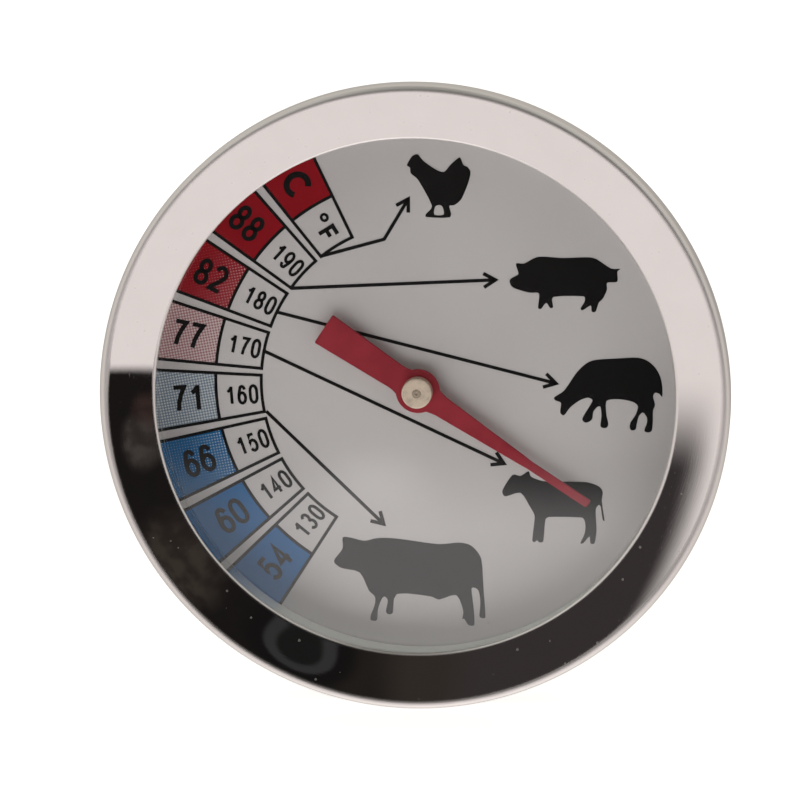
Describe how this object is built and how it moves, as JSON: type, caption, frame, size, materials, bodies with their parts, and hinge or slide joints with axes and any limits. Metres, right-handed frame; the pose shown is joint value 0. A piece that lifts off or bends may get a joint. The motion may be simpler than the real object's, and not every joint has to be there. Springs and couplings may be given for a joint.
{
  "type": "dial meat thermometer",
  "caption": "Leave-in dial thermometer: round steel head with a printed dial and pointer, on a thin probe stem with a bimetal coil in its tip.",
  "frame": {"origin": "the small blunt flat at the stem's tip, on the stem's axis", "axes": "+Y along the stem from the dial to the tip; the dial faces -Y; +Z is the dial's 12 o'clock; +X is the dial's 3 o'clock seen from the front"},
  "size_m": [0.062, 0.125, 0.062],
  "materials": {
    "polished_steel": "mirror polished stainless steel with fine scratches",
    "stainless_steel": "satin drawn stainless steel",
    "lens_glass": "clear flat glass",
    "gasket": "matte light grey silicone",
    "dial_face": "silver-grey painted aluminium with printed scale",
    "pointer_red": "satin red paint",
    "nickel": "nickel plate, turned",
    "brass": "turned brass",
    "bimetal": "rolled bimetal strip, one face browner than the other",
    "seal": "matte red-brown silicone"
  },
  "bodies": {
    "housing": {"case": "stainless_steel", "bezel": "polished_steel", "lens": "lens_glass", "lens_gasket": "gasket", "spacer_ring": "polished_steel", "dial_plate": "dial_face", "stem_tube": "stainless_steel", "stem_tip": "stainless_steel", "stem_collar": "stainless_steel", "collar_seal": "seal", "lock_washer": "stainless_steel", "collar_nut": "brass", "upper_bearing": "brass", "middle_bearing": "brass", "lower_bearing": "brass", "coil_anchor": "brass", "bimetal_coil": "bimetal"},
    "pointer_assembly": {"pointer": "pointer_red", "pointer_hub": "nickel", "staff": "stainless_steel", "coil_arbor": "brass", "thrust_collar": "brass"}
  },
  "joints": [
    {"name": "pointer_turn", "type": "hinge", "parent": "housing", "child": "pointer_assembly", "pos_m": [0, -0.118, 0], "axis": [0, 1, 0], "range_deg": [-56, 223], "stiffness_Nm_per_rad": 0.0005}
  ]
}
